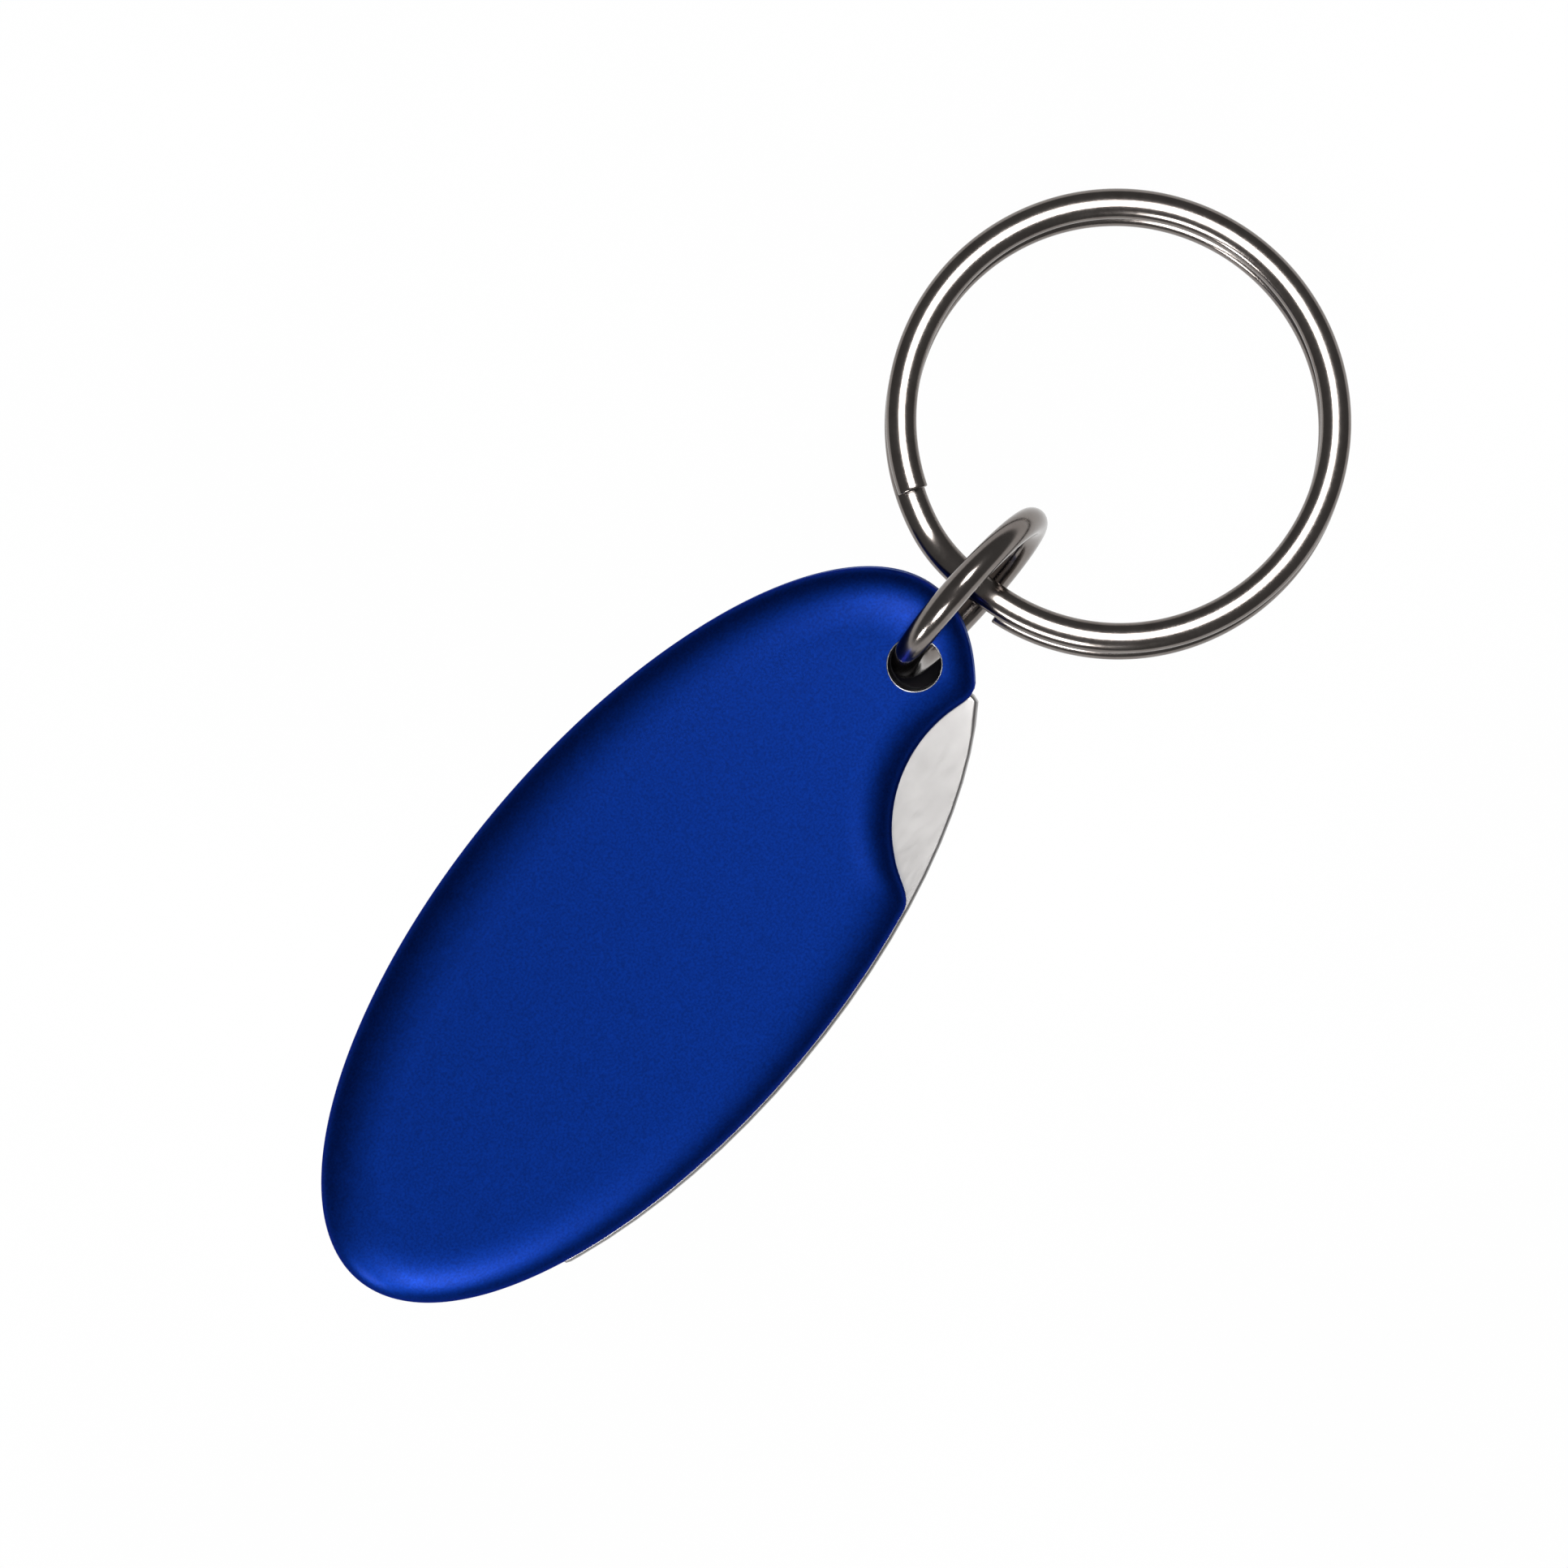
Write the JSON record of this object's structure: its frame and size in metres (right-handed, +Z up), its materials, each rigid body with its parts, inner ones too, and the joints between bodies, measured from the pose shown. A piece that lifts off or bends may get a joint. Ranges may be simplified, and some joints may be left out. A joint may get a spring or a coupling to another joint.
{
  "type": "token holder key fob",
  "caption": "Oval key fob holder for a round transit token: a plate swings out of a slot in a lacquered metal body, with a jump ring and a split key ring.",
  "frame": {"origin": "centre of the footprint on the table that the fob lies on", "axes": "+X from the body's tail to the split ring, +Y away from the slot side, +Z up from the table; the body is pitched 4.2 degrees nose up, because its lug rests on the jump ring"},
  "size_m": [0.0886, 0.0302, 0.0139],
  "materials": {
    "blue_lacquer": "satin metallic lacquer",
    "satin_nickel": "satin",
    "dark_nickel": "polished",
    "pin_steel": "turned",
    "token_brass": "struck"
  },
  "bodies": {
    "body": {"front_shell": "blue_lacquer", "back_shell": "blue_lacquer", "pivot_pin": "pin_steel", "plain_washer": "pin_steel", "disc_spring": "pin_steel", "stop_pin": "pin_steel", "dowel_pins": "pin_steel", "lug_eyelet": "pin_steel"},
    "carrier": {"token_carrier": "satin_nickel", "token": "token_brass", "token_spring": "pin_steel"},
    "jump_link": {"jump_ring": "dark_nickel"},
    "key_link": {"split_ring": "dark_nickel"}
  },
  "joints": [
    {"name": "carrier_swing", "type": "hinge", "parent": "body", "child": "carrier", "pos_m": [-0.03483, -0.00064, 0.00335], "axis": [0.0728, 0, -0.9973], "range_deg": [0, 100]},
    {"name": "jump_ring_swing", "type": "hinge", "parent": "body", "child": "jump_link", "pos_m": [0.00895, 0, 0.00655], "axis": [-0.0728, 0, 0.9973], "range_deg": [-50, 25]},
    {"name": "split_ring_swing", "type": "hinge", "parent": "jump_link", "child": "key_link", "pos_m": [0.01528, 0, 0.00351], "axis": [0, -1, 0], "range_deg": [-100, 100]}
  ]
}
